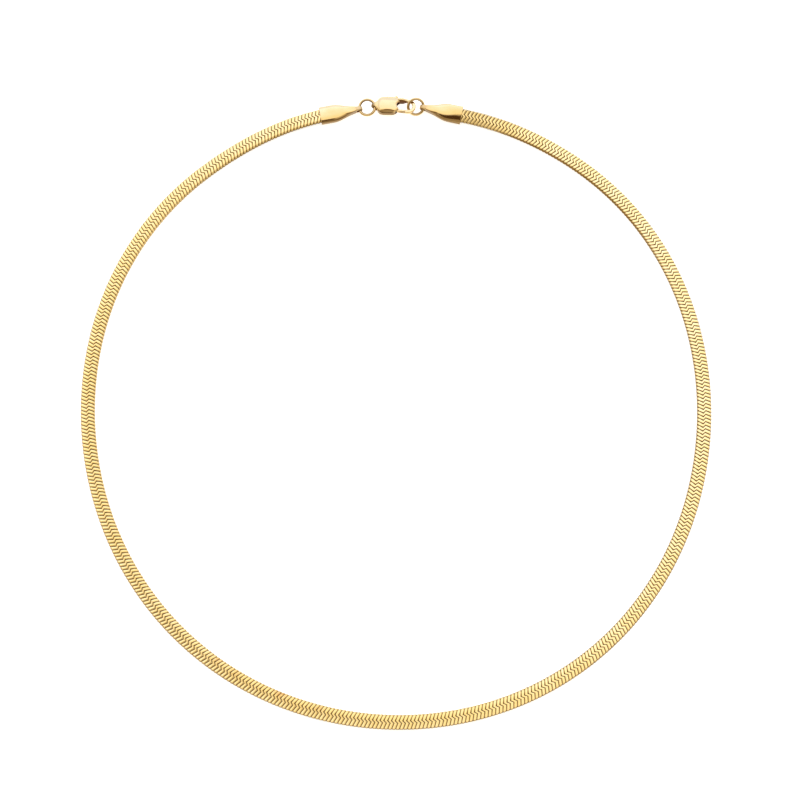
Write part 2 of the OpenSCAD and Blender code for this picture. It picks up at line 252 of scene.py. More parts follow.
GROUPS = {
    "necklace_loop": NecklaceLoop,
    "necklace_chain": NecklaceChain,
    "necklace_caps": NecklaceCaps,
    "necklace_rings": NecklaceRings,
    "necklace_clasp": NecklaceClasp,
    "necklace_stage": NecklaceStage,
}


# Surfaces: arrays of points, with faces as arrays of corner numbers

def ease(u):
    """Smooth step: 3v^2 - 2v^3, with v held between 0 and 1."""
    v = np.clip(u, 0.0, 1.0)
    return v * v * (3.0 - 2.0 * v)


def signed_power(value, power):
    """The absolute value raised to a power, with its sign kept."""
    return np.sign(value) * np.abs(value) ** power


def round_angles(count, shift=0.0):
    """Angles of evenly spaced points round a loop, 2 pi (k + shift) / count."""
    return 2.0 * np.pi * (np.arange(count) + shift) / count


def grid_quads(rows, columns):
    """Quads between neighbouring rows of a grid whose rows are loops."""
    row, column = np.meshgrid(np.arange(rows - 1), np.arange(columns), indexing="ij")
    start, after = row * columns, (column + 1) % columns
    return np.stack([start + column, start + after, start + columns + after,
                     start + columns + column], -1).reshape(-1, 4)


def volume(points, faces):
    """Signed volume of a closed shell: a sixth of the triple products of its triangle fans."""
    total = 0.0
    for group in faces:
        for k in range(1, group.shape[1] - 1):
            a, b, c = points[group[:, 0]], points[group[:, k]], points[group[:, k + 1]]
            total += np.einsum("ij,ij->i", a, np.cross(b, c)).sum() / 6.0
    return total


def outward(points, faces):
    """A closed shell with its faces turned outwards."""
    if volume(points - points.mean(0), faces) < 0.0:
        faces = [group[:, ::-1] for group in faces]
    return points, faces


def loft(sections, poles=(True, True)):
    """Closed shell through sections of shape (rows, columns, 3): quads from each loop to the next.
    Where poles is set, that end closes on one point at the mean of its loop; else on one flat face."""
    rows, columns = sections.shape[:2]
    points = [sections.reshape(-1, 3)]
    faces = [grid_quads(rows, columns)]
    count = rows * columns
    for first, pole in ((0, poles[0]), ((rows - 1) * columns, poles[1])):
        loop = first + np.arange(columns)
        facing = loop if first else loop[::-1]
        if pole:
            points.append(points[0][loop].mean(0)[None])
            faces.append(np.stack([facing, np.roll(facing, -1), np.full(columns, count)], -1))
            count += 1
        else:
            faces.append(facing[None])
    return outward(np.concatenate(points), faces)


def ring_shell(sections):
    """Closed shell through sections that come back to the first one, as on a ring."""
    rows, columns = sections.shape[:2]
    faces = grid_quads(rows + 1, columns) % (rows * columns)
    return outward(sections.reshape(-1, 3), [faces])


def superellipse(half_width, half_height, power, columns):
    """Loops x = a sgn(cos t)|cos t|^(2/n), y = b sgn(sin t)|sin t|^(2/n), one for each pair of
    half sizes."""
    t = round_angles(columns)
    n = 2.0 / np.atleast_1d(power)[:, None]
    x = np.atleast_1d(half_width)[:, None] * signed_power(np.cos(t), n)
    y = np.atleast_1d(half_height)[:, None] * signed_power(np.sin(t), n)
    return np.stack(np.broadcast_arrays(x, y), -1)


def crown(q, power):
    """Fall of a rounded top towards its sides: (1 - |q|^n)^(1/n), with q held between -1 and 1."""
    return (1.0 - np.clip(np.abs(q), 0.0, 1.0) ** power) ** (1.0 / power)


def crowned(half_width, half_height, upright, power, columns):
    """Loops with upright sides, s high each way, under a crown: x = a cos t,
    y = sgn(sin t)(s + (b - s)(1 - |cos t|^n)^(1/n))."""
    t = round_angles(columns, 0.5)
    x = half_width[:, None] * np.cos(t)
    rise = (half_height - upright)[:, None] * crown(np.cos(t), power[:, None])
    return np.stack([x, np.sign(np.sin(t)) * (upright[:, None] + rise)], -1)


def sweep(path, loops, round_ends=(True, True)):
    """Carries flat loops along a path in plan: a loop's first axis points to the path's left and its
    second up. A round end goes on past the path's end in loops that draw in as a quarter circle does,
    while a coordinate near to zero stays as it is."""
    way = np.gradient(path, axis=0)
    way /= np.linalg.norm(way, axis=1, keepdims=True)
    left = np.cross(UP, way)
    ends = []
    for end, sign, rounded in ((0, -1, round_ends[0]), (-1, 1, round_ends[1])):
        reach = END_REACH * np.abs(loops[end]).max(0).min()
        steps = END_STEPS[::sign] if rounded else END_STEPS[:0]
        ends.append((path[end] + sign * reach * np.sin(steps)[:, None] * way[end],
                     loops[end] - (1.0 - np.cos(steps))[:, None, None] * reach * np.sign(loops[end])
                     * (np.abs(loops[end]) > 0.3 * reach),
                     np.repeat(left[end][None], len(steps), 0)))
    path = np.concatenate([ends[0][0], path, ends[1][0]])
    loops = np.concatenate([ends[0][1], loops, ends[1][1]])
    left = np.concatenate([ends[0][2], left, ends[1][2]])
    return path[:, None] + left[:, None] * loops[..., :1] + UP * loops[..., 1:]


def turned(axis, radians):
    """Matrix of a turn about one axis, 0 to 2, by the right-hand rule."""
    c, s = math.cos(radians), math.sin(radians)
    matrix = np.eye(3)
    i, j = (axis + 1) % 3, (axis + 2) % 3
    matrix[i, i], matrix[i, j], matrix[j, i], matrix[j, j] = c, -s, s, c
    return matrix


def placed(shells, matrix, at):
    """Shells turned by a matrix and moved to a place."""
    return [(points @ matrix.T + np.asarray(at, float), faces) for points, faces in shells]


def put_piece(name, shells, material, body, nodes, sharp=32.0, attributes=None):
    """Makes one object of closed shells, smooth but for edges sharper than an angle in degrees."""
    points, faces, first = [], [], 0
    for shell_points, shell_faces in shells:
        points.append(shell_points)
        faces.extend(face for group in shell_faces for face in (group + first).tolist())
        first += len(shell_points)
    mesh = bpy.data.meshes.new(name)
    mesh.from_pydata(np.concatenate(points), [], faces)
    for key, values in (attributes or {}).items():
        layer = mesh.attributes.new(key, "FLOAT", "POINT")
        layer.data.foreach_set("value", np.asarray(values, np.float32).ravel())
    mesh.polygons.foreach_set("use_smooth", np.ones(len(mesh.polygons), bool))
    mesh.set_sharp_from_angle(angle=math.radians(sharp))
    if mesh.validate():
        raise RuntimeError(f"{name} has faulty faces")
    mesh.materials.append(material)
    piece = bpy.data.objects.new(name, mesh)
    bpy.context.scene.collection.objects.link(piece)
    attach(piece, body)
    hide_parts(*nodes)


# The chain's route

def clock_point(turn, radius, loop, height):
    """Point at a clock angle, which runs from +Y towards +X: (x + r sin a, y + r cos a, height)."""
    return np.stack([loop.middle_x + radius * np.sin(turn), loop.middle_y + radius * np.cos(turn),
                     np.broadcast_to(height, np.shape(turn))], -1)


def near_caps(turn, loop):
    """How near clock angles are to the right and to the left cap: from 1 at its mouth by a smooth step
    to 0 after the end turn."""
    return (1.0 - ease((turn - loop.right_mouth) / loop.end_turn),
            1.0 - ease((2.0 * np.pi + loop.left_mouth - turn) / loop.end_turn))


def loop_line(turn, loop, chain, caps):
    """Middle line of the loop: a circle with two, three and four waves of the clock angle added, which
    make it oval, egg-shaped and square, and its two ends eased outwards and up to the caps."""
    near_right, near_left = near_caps(turn, loop)
    radius = (loop.radius + loop.oval * np.cos(2.0 * (turn - loop.oval_at))
              + loop.egg * np.cos(3.0 * (turn - loop.egg_at))
              + loop.squareness * np.cos(4.0 * (turn - loop.corner_at))
              + loop.right_out * near_right + loop.left_out * near_left)
    lying = chain.thickness / 2.0
    height = lying + (caps.thickness / 2.0 - lying) * np.maximum(near_right, near_left)
    return clock_point(turn, radius, loop, height)


def cap_places(scene):
    """Mouth and direction, mouth to tip, of the left and the right cap."""
    loop = scene.necklace_loop
    mouths = np.array([2.0 * np.pi + loop.left_mouth, loop.right_mouth])
    left, right = loop_line(mouths, loop, scene.necklace_chain, scene.necklace_caps)
    return ((left, np.array([math.cos(loop.left_heading), math.sin(loop.left_heading), 0.0])),
            (right, np.array([-math.cos(loop.right_heading), math.sin(loop.right_heading), 0.0])))


class Route:
    """The chain's middle line by arc length, from inside the right cap round to the left one."""

    def __init__(self, scene):
        loop, chain, caps = scene.necklace_loop, scene.necklace_chain, scene.necklace_caps
        (left, left_way), (right, right_way) = cap_places(scene)
        turn = np.linspace(loop.right_mouth, 2.0 * np.pi + loop.left_mouth, LINE_STEPS)
        near_right, near_left = near_caps(turn, loop)
        lean = caps.right_roll * near_right + caps.left_roll * near_left
        self.lean = np.pad(lean, SEAT_STEPS, mode="edge")
        into = np.linspace(1.0, 0.0, SEAT_STEPS, endpoint=False)[:, None] * chain.seat
        self.points = np.concatenate([right + right_way * into, loop_line(turn, loop, chain, caps),
                                      left + left_way * into[::-1]])
        steps = np.linalg.norm(np.diff(self.points, axis=0), axis=1)
        self.reach = np.concatenate([[0.0], np.cumsum(steps)])
        self.length = self.reach[-1]
        way = np.gradient(self.points, axis=0)
        self.heading = np.unwrap(np.arctan2(way[:, 1], way[:, 0]))

    def at(self, reach):
        """Middle point, outward and upward direction and clock angle at arc lengths. Near an end both
        directions lean with its cap, inner side down."""
        middle = np.stack([np.interp(reach, self.reach, self.points[:, k]) for k in range(3)], -1)
        heading = np.interp(reach, self.reach, self.heading)
        out = np.stack([-np.sin(heading), np.cos(heading), np.zeros_like(heading)], -1)
        lean = np.interp(reach, self.reach, self.lean)[..., None]
        return (middle, out * np.cos(lean) + UP * np.sin(lean), UP * np.cos(lean) - out * np.sin(lean),
                np.arctan2(middle[..., 0], middle[..., 1]) % (2.0 * np.pi))


# Materials

def node_adder(tree):
    """A function that adds a node to a tree, sets its values, and sets or links its sockets."""
    def add(kind, sockets=(), **values):
        node = tree.nodes.new(kind)
        for key, value in values.items():
            setattr(node, key, value)
        for key, value in dict(sockets).items():
            socket = node.inputs[key]
            if isinstance(value, bpy.types.NodeSocket):
                tree.links.new(value, socket)
            else:
                socket.default_value = value
        return node

    return add


def new_material(name):
    """A node material with its Principled shader, a function that adds nodes, and its links."""
    material = bpy.data.materials.new(name)
    material.use_nodes = True
    tree = material.node_tree
    return material, tree.nodes["Principled BSDF"], node_adder(tree), tree.links


def noise(add, scale, detail=3.0):
    """Noise of the object's own place, from 0 to 1."""
    place = add("ShaderNodeTexCoord").outputs["Object"]
    return add("ShaderNodeTexNoise", {"Vector": place, "Scale": scale, "Detail": detail,
                                      "Roughness": 0.55}).outputs["Fac"]


def attribute(add, name):
    """A number that the mesh keeps for each of its points."""
    return add("ShaderNodeAttribute", attribute_name=name).outputs["Fac"]


def spread(add, value, low, high, start=0.0, stop=1.0):
    """Maps a value from start..stop to low..high and holds it there."""
    return add("ShaderNodeMapRange", {"Value": value, "From Min": start, "From Max": stop,
                                      "To Min": low, "To Max": high}, clamp=True).outputs["Result"]


def blended(add, factor, first, second):
    """Mixes two colours, each a socket or a linear colour."""
    first, second = (value if isinstance(value, bpy.types.NodeSocket) else (*value, 1.0)
                     for value in (first, second))
    return add("ShaderNodeMix", {0: factor, 6: first, 7: second}, data_type="RGBA").outputs[2]


def deepened(tone, shares):
    """A linear colour with each of its parts cut to a share."""
    return tuple(part * kept for part, kept in zip(tone, shares))


def marked(add, height, strength):
    """Normal of a surface with fine marks of a height pattern."""
    return add("ShaderNodeBump", {"Strength": strength, "Distance": MARK_DEPTH,
                                  "Height": height}).outputs["Normal"]


def polished_gold(scene):
    """The one polished gold plate of the caps, rings and clasp: faint warm and pale clouds, a few
    hairline scratches and uneven gloss, and dark brown painted shade where its shade attribute is high."""
    made = bpy.data.materials.get("polished_gold")
    if made:
        return made
    caps = scene.necklace_caps
    material, shader, add, links = new_material("polished_gold")
    clouds = spread(add, noise(add, PLATE_CLOUDS), 0.0, 1.0, 0.35, 0.65)
    plated = blended(add, clouds, deepened(caps.metal, (0.96, 0.9, 0.78)), caps.metal)
    # painted shade: the metal turns dark brown where the shade attribute is high
    links.new(blended(add, attribute(add, "painted_shade"), plated, caps.painted_shade), shader.inputs["Base Color"])
    place = add("ShaderNodeTexCoord").outputs["Object"]
    drawn = add("ShaderNodeMapping", {"Vector": place, "Scale": (1.0, 9.0, 4.0)}).outputs["Vector"]
    scratches = add("ShaderNodeTexNoise", {"Vector": drawn, "Scale": SCRATCHES,
                                           "Detail": 2.0}).outputs["Fac"]
    gloss = spread(add, scratches, caps.roughness * 0.75, caps.roughness * 1.5, 0.3, 0.75)
    links.new(gloss, shader.inputs["Roughness"])
    links.new(marked(add, scratches, 0.06), shader.inputs["Normal"])
    shader.inputs["Metallic"].default_value = 1.0
    return material


def chain_gold(chain):
    """Gold of the links: pale faces, olive brown painted shade in the grooves and at the sides, deeper
    gold painted shade on part of the loop, and a few tarnished spots.
    """
    material, shader, add, links = new_material("chain_gold")
    groove = attribute(add, "groove")
    clouds = spread(add, noise(add, LINK_CLOUDS), 0.0, 0.5, 0.3, 0.75)
    warm = deepened(chain.face, (0.93, 0.86, 0.66))
    # the tone attribute deepens the face: each link's own random tone, plus painted shade on part of the
    # loop
    face = blended(add, attribute(add, "tone"), chain.face, warm)
    face = blended(add, clouds, face, warm)
    # painted shade in the grooves and along the sides, where the groove attribute is high
    face = blended(add, groove, face, chain.groove_shade_colour)
    specks = spread(add, noise(add, SPECKS, 4.0), 0.0, 1.0, 0.42, 0.62)
    # tarnished specks, which also carry painted brown shade on the inner side near the right cap
    spots = add("ShaderNodeMath", {0: attribute(add, "tarnish_and_shade"), 1: specks}, operation="MULTIPLY")
    links.new(blended(add, spots.outputs[0], face, chain.tarnish_and_shade), shader.inputs["Base Color"])
    links.new(spread(add, groove, chain.roughness, 0.5), shader.inputs["Roughness"])
    links.new(marked(add, noise(add, GRAIN, 2.0), 0.12), shader.inputs["Normal"])
    shader.inputs["Metallic"].default_value = 1.0
    return material


# Pieces

# A link's outline across the chain, from its outer end over the face to its inner end and back below.
# Shares of the width, of the thickness and of the wave, then how much of the link's length along the
# chain is left there, how much painted shade its two rims and its whole length get, and where its inner
# side is.
LINK_ACROSS = np.array([0.5, 0.45, 0.40, 0.08, -0.07, -0.34, -0.455, -0.5, -0.46, -0.07, 0.08, 0.46])
LINK_HEIGHT = np.array([0.1, 0.38, 0.487, 0.5, 0.5, 0.49, 0.395, 0.1, -0.46, -0.5, -0.5, -0.46])
LINK_WAVE = np.array([0.50, 0.40, 0.29, -0.42, 0.55, -0.10, -0.39, -0.50, -0.42, 0.55, -0.42, 0.43])
LINK_LEFT = np.array([0.5, 0.68, 0.97, 0.94, 0.88, 1.0, 0.7, 0.5, 0.8, 0.9, 0.9, 0.8])
LINK_RIM = np.array([1.0, 0.95, 0.65, 0.75, 1.0, 0.6, 0.8, 1.0, 1.0, 1.0, 1.0, 1.0])
LINK_SIDE = np.array([0.9, 0.25, 0.0, 0.0, 0.0, 0.0, 0.35, 1.0, 1.0, 1.0, 1.0, 1.0])
LINK_INNER = np.array([0.0, 0.0, 0.0, 0.0, 0.0, 0.0, 1.0, 1.0, 1.0, 0.0, 0.0, 0.0])
# Along a link, tucked tail to nose: share of the pitch, of the groove's depth and of the rim's painted
# shade, and how far the sides draw in
LINK_ALONG = np.array([-0.66, -0.435, -0.27, 0.27, 0.435])
LINK_SINK = np.array([1.0, 0.34, 0.04, 0.04, 0.36])
LINK_DARK = np.array([1.6, 1.0, 0.0, 0.0, 1.0])
LINK_DRAW = np.array([0.00011, 0.00003, 0.0, 0.0, 0.00004])
# Tarnished spots: clock angle in degrees, share of the width, and strength
SPOTS = np.array([[194.0, -0.27, 0.5], [201.0, -0.3, 0.7], [210.0, -0.24, 0.4], [214.0, -0.3, 0.6],
                  [26.0, -0.42, 0.3]])
# Stretches of the loop by clock angle in degrees: start, rise over, end, fall over
NEAR_SIDE = 150.0, 25.0, 222.0, 25.0
LEFT_SIDE = 220.0, 30.0, 325.0, 25.0
RIGHT_END = 16.0, 8.0, 75.0, 25.0
RIGHT_TO_NEAR = 95.0, 25.0, 240.0, 30.0
NEAR_TO_LEFT = 145.0, 25.0, 330.0, 25.0


def stretch(place, start, rise, end, fall):
    """1 along a stretch of the loop and 0 outside it, with a smooth step at each end."""
    return ease((place - start) / rise) * ease((end - place) / fall)


class NECKLACE_OT_chain(bpy.types.Operator):
    """Build the chain's bent links along the loop"""
    bl_idname = "necklace.chain"
    bl_label = "Chain"

    def execute(self, context):
        chain = context.scene.necklace_chain
        route = Route(context.scene)
        count = int(route.length / chain.pitch)
        pitch = route.length / count
        rows, columns = len(LINK_ALONG), len(LINK_ACROSS)
        start = ((np.arange(count) + 0.5) * pitch)[:, None, None]
        # the tucked tail keeps its full length right across the chain
        along = LINK_ALONG[:, None] * np.where(np.arange(rows)[:, None] == 0, 1.0, LINK_LEFT)
        reach = start + along * pitch + LINK_WAVE * chain.wave
        middle, out, up, turn = route.at(np.clip(reach, 0.0, route.length))
        sink = (LINK_SINK * chain.groove)[:, None]
        side = LINK_ACROSS * (chain.width - 2.0 * LINK_DRAW[:, None])
        rise = LINK_HEIGHT * (chain.thickness - 2.0 * sink)
        points = (middle + out * side[..., None] + up * rise[..., None]).reshape(-1, 3)
        # each end closes on one face for the outer arm, one for the inner arm and one between them
        lids = [np.array([[0, 1, 2, 3, 10, 11], [4, 5, 6, 7, 8, 9]]), np.array([[3, 4, 9, 10]])]
        last = (rows - 1) * columns
        body = [grid_quads(rows, columns)] + [np.concatenate([lid[:, ::-1], lid + last]) for lid in lids]
        one = points[:rows * columns]
        if volume(one - one.mean(0), body) < 0.0:
            body = [group[:, ::-1] for group in body]
        faces = [(np.arange(count)[:, None, None] * rows * columns + group).reshape(-1, group.shape[1])
                 for group in body]
        # painted shade: dark in the grooves at the links' rims and along their sides
        dark = np.maximum(LINK_DARK[:, None] * LINK_RIM, LINK_SIDE)
        random = np.random.default_rng(7)
        place = np.degrees(turn)
        # painted shade: deeper gold on the inner half round the near side of the loop, and a little on the
        # left
        deep = (stretch(place, *NEAR_SIDE) * ease(0.5 - 2.0 * LINK_ACROSS)
                + 0.35 * stretch(place, *LEFT_SIDE))
        tone = 0.6 * random.random(count)[:, None, None] + 0.9 * deep
        stain_and_shade = np.zeros_like(place)
        for at, where, strength in SPOTS:
            away = ((place - at) * 0.9) ** 2 + ((LINK_ACROSS - where) / 0.2) ** 2
            stain_and_shade = np.maximum(stain_and_shade, strength * np.exp(-away))
        # painted shade: the inner side is brown near the right cap and paler round the near side and the
        # left, and the outer edge is dark from the right round the near side
        inner = stretch(place, *RIGHT_END) * LINK_INNER
        pale = 0.4 * stretch(place, *NEAR_TO_LEFT) * LINK_INNER
        outer = (stretch(place, *RIGHT_TO_NEAR) * (LINK_ACROSS > 0.44)
                 * np.maximum(LINK_DARK, 0.4)[:, None])
        # the inner side's painted brown shade goes in with the tarnished spots
        stain_and_shade = np.maximum(stain_and_shade, 0.3 * inner)
        dark = np.minimum(np.maximum(dark * (1.0 - pale), np.maximum(inner, outer)), 1.0)
        put_piece("snake_chain_links", [(points, faces)], chain_gold(chain), ROOT_BODY,
                  ["chain"], sharp=24.0, attributes={"groove": dark, "tone": tone, "tarnish_and_shade": stain_and_shade})
        return {"FINISHED"}


def eyelet(at, outside, bore, half_width, power):
    """Loop of metal round a bore that runs along y, in the x-z plane. Its outline is a circle on its free
    side and (|cos|^n + |sin|^n)^(-1/n), n up to 14, towards the root at +x. Across it the outside falls
    from that outline to the bore as a crown does, and its half width is a function of x."""
    around = round_angles(CAP_POINTS)[:, None]
    n = 2.0 + 12.0 * ease(1.5 * np.cos(around))
    outer = outside / 2.0 * (np.abs(np.cos(around)) ** n + np.abs(np.sin(around)) ** n) ** (-1.0 / n)
    across = np.sin(0.5 * np.pi * np.linspace(-1.0, 1.0, EYE_OVER))
    radius = np.concatenate([bore / 2.0 + (outer - bore / 2.0) * crown(across, power),
                             np.full((CAP_POINTS, EYE_THROUGH), bore / 2.0)], 1)
    x = at + radius * np.cos(around)
    y = half_width(x) * np.concatenate([across, np.linspace(0.9, -0.9, EYE_THROUGH)])
    return ring_shell(np.stack([x, y, radius * np.sin(around)], -1))


def cap_shells(caps, chain, roll, inner_side):
    """One end cap, mouth at the origin and tip towards +x. Crowned sections taper by a smooth step from
    mouth to tip, rolled near the mouth; the rim turns back into a pocket and the tip ends in an eyelet.
    Also returns how much painted shade each point gets, on the loop's inner side and at the tip."""
    eye = caps.length - caps.tip_thickness / 2.0
    end = eye - caps.bore / 2.0 - HAIR
    tip_x = caps.length - caps.tip_width / 2.0

    def half_width(x):
        taper = ease((x - caps.straight) / (tip_x - caps.straight))
        return (caps.width + (caps.tip_width - caps.width) * taper) / 2.0

    x = np.concatenate([[0.0, HAIR, 3.0 * HAIR], np.linspace(0.0005, end, CAP_STEPS)])
    # the rim draws in, and the roll is full at the mouth and gone at three quarters of the length
    rim = np.ones_like(x)
    rim[:2] = 0.965, 0.99
    lying = 1.0 - ease(x / (0.75 * caps.length))
    half_height = (caps.thickness + (caps.tip_thickness - caps.thickness) * ease(x / tip_x)) / 2.0
    half_height *= 1.0 - ROLL_THINNING * abs(math.degrees(roll)) * lying
    upright = MOUTH_SIDE + (caps.bore / 2.0 - MOUTH_SIDE) * ease((x - end + 0.0025) / 0.0025)
    power = caps.crown + TIP_FLATTER * ease((x - end + 0.003) / 0.003)
    outer = crowned(half_width(x) * rim, half_height * rim, upright * rim, power, CAP_POINTS)
    pocket = np.array([0.0, 0.0, HAIR]) + caps.gap
    inner = crowned(pocket + chain.width / 2.0, pocket + chain.thickness / 2.0, np.full(3, 0.0002),
                    np.full(3, POCKET_POWER), CAP_POINTS)
    stations = np.concatenate([[caps.pocket, 0.0001, 0.0], x])
    loops = np.concatenate([inner, outer])
    lean = roll * np.concatenate([np.ones(3), lying])[:, None]
    loops = np.stack([np.cos(lean) * loops[..., 0] - np.sin(lean) * loops[..., 1],
                      np.sin(lean) * loops[..., 0] + np.cos(lean) * loops[..., 1]], -1)
    along = np.broadcast_to(stations[:, None, None], loops.shape[:2] + (1,))
    sections = np.concatenate([along, loops], -1)
    # the eyelet is made with its root at +x, so here it is turned about
    points, faces = eyelet(0.0, caps.tip_thickness, caps.bore, lambda at: half_width(eye - at),
                           caps.crown + TIP_FLATTER)
    points[:, 2] *= 1.0 - TUCK * ease((points[:, 0] - caps.bore / 2.0) / (2.0 * HAIR))
    body = loft(sections)
    across = np.cos(round_angles(CAP_POINTS, 0.5))
    # painted shade: brown on the cap's side towards the loop's inside, on the eyelet and towards the tip
    painted_side_shade = np.broadcast_to(0.7 * ease((inner_side * across - 0.76) / 0.16), loops.shape[:2]).ravel()
    shade_mask = np.concatenate([painted_side_shade, np.zeros(len(body[0]) - len(painted_side_shade)), np.full(len(points), 0.25)])
    tip = 0.35 * ease((np.concatenate([body[0][:, 0], eye - points[:, 0]]) - 0.0075) / 0.0025)
    return [body, (points * [-1.0, -1.0, 1.0] + [eye, 0.0, 0.0], faces)], np.maximum(shade_mask, tip)


class NECKLACE_OT_end_caps(bpy.types.Operator):
    """Build the two tapered end caps with their looped tips"""
    bl_idname = "necklace.end_caps"
    bl_label = "End caps"

    def execute(self, context):
        scene = context.scene
        caps = scene.necklace_caps
        rolls = caps.left_roll, -caps.right_roll
        for side, roll, inner_side, (mouth, way) in zip(("left", "right"), rolls, (-1, 1),
                                                        cap_places(scene)):
            shells, painted_shade = cap_shells(caps, scene.necklace_chain, roll, inner_side)
            matrix = np.stack([way, np.cross(UP, way), UP], 1)
            put_piece(f"end_cap_{side}_shell", placed(shells, matrix, mouth), polished_gold(scene),
                      ROOT_BODY, [f"end_cap_{side}"], sharp=50.0,
                      attributes={"painted_shade": painted_shade})
        return {"FINISHED"}


class NECKLACE_OT_jump_rings(bpy.types.Operator):
    """Build the two jump rings"""
    bl_idname = "necklace.jump_rings"
    bl_label = "Jump rings"

    def execute(self, context):
        scene = context.scene
        rings = scene.necklace_rings
        around = round_angles(RING_POINTS)
        wire = rings.wire / 2.0
        loops = superellipse(np.full(RING_POINTS, wire), np.full(RING_POINTS, wire), 2.0, WIRE_POINTS)
        radius = rings.outside / 2.0 - wire + loops[..., 0]
        shell = ring_shell(np.stack([radius * np.cos(around)[:, None], radius * np.sin(around)[:, None],
                                     loops[..., 1]], -1))
        # painted shade: brown on the wire's inner side, and a little all round
        painted_shade = 0.15 + 0.6 * ease(-1.3 * loops[..., 0] / wire)
        for side, at, tilt, slope in (("left", rings.left_at, rings.left_tilt, rings.left_slope),
                                      ("right", rings.right_at, rings.right_tilt, rings.right_slope)):
            matrix = turned(1, slope) @ turned(0, tilt)
            put_piece(f"jump_ring_{side}_wire", placed([shell], matrix, at), polished_gold(scene),
                      ROOT_BODY, [f"jump_ring_{side}"], attributes={"painted_shade": painted_shade})
        return {"FINISHED"}


def tail_eye(clasp):
    """Middle of the tail's bore, along the clasp."""
    return -clasp.tail + clasp.tail_thickness / 2.0


def gate_line(clasp):
    """Middle line of the gate, across the clasp: beside the throat, with a small gap."""
    return -clasp.throat / 2.0 - GATE_GAP - clasp.gate / 2.0


def clasp_half_width(clasp, x):
    """Half width of shell and tail: the shell's round ends, the front one drawn out, then a cubic curve
    that leaves the round back on its own slope and ends level on the tail."""
    radius, start = clasp.shell_width / 2.0, -0.0017
    stop = tail_eye(clasp) - 0.00025
    past = np.maximum(np.where(x < 0.0, -x, 0.5 * x) - clasp.shell_run / 2.0, 0.0)
    rounded = np.sqrt(np.maximum(radius ** 2 - past ** 2, 0.0))
    left = -start - clasp.shell_run / 2.0
    begin = math.sqrt(radius ** 2 - left ** 2)
    s = np.clip((x - stop) / (start - stop), 0.0, 1.0)
    narrow = clasp.tail_width / 2.0
    tail = narrow + (begin - narrow) * ease(s) + left / begin * (start - stop) * (s ** 3 - s ** 2)
    return np.where(x < start, tail, rounded)


def clasp_crest(clasp, x):
    """Half thickness of shell and tail on their middle line: the belly's bulge, eased to the tail's."""
    tail = clasp.tail_thickness / 2.0
    belly = clasp.shell_thickness / 2.0 - clasp.belly + np.sqrt(clasp.belly ** 2 - x ** 2)
    return tail + (belly - tail) * ease((x - tail_eye(clasp)) / 0.0009)


def shell_outline(clasp, y):
    """Back and front end of the clasp's shell on lines across it. The back is where the half width falls
    to y, held off the eye; the front is the gate's edge, the throat's round back and the spine's root."""
    radius = clasp.shell_width / 2.0
    bulge = np.sqrt(np.maximum(radius ** 2 - y ** 2, 0.0))
    along = np.linspace(tail_eye(clasp) + clasp.tail_bore / 2.0 + LIP, -clasp.shell_run / 2.0, 200)
    back = np.interp(np.abs(y), clasp_half_width(clasp, along), along)
    half_throat = clasp.throat / 2.0
    throat = clasp.throat_at + half_throat - np.sqrt(np.maximum(half_throat ** 2 - y ** 2, 0.0))
    edge_slope = (clasp.throat_at + 0.0004 - clasp.shell_run) / (radius - half_throat + 0.00008)
    gate_edge = clasp.shell_run + (y + radius) * edge_slope
    corner = np.clip((-y - radius + CORNER) / CORNER, 0.0, 1.0)
    gate_edge -= CORNER_FALL * (1.0 - np.sqrt(1.0 - corner ** 2))
    front = np.where(y < 0.0, np.minimum(gate_edge, throat), throat)
    round_front = clasp.shell_run / 2.0 + bulge
    spine_side = np.where(y < half_throat + clasp.hook, np.maximum(round_front, SPINE_ROOT),
                          round_front)
    return back, np.where(y > half_throat, spine_side, front)


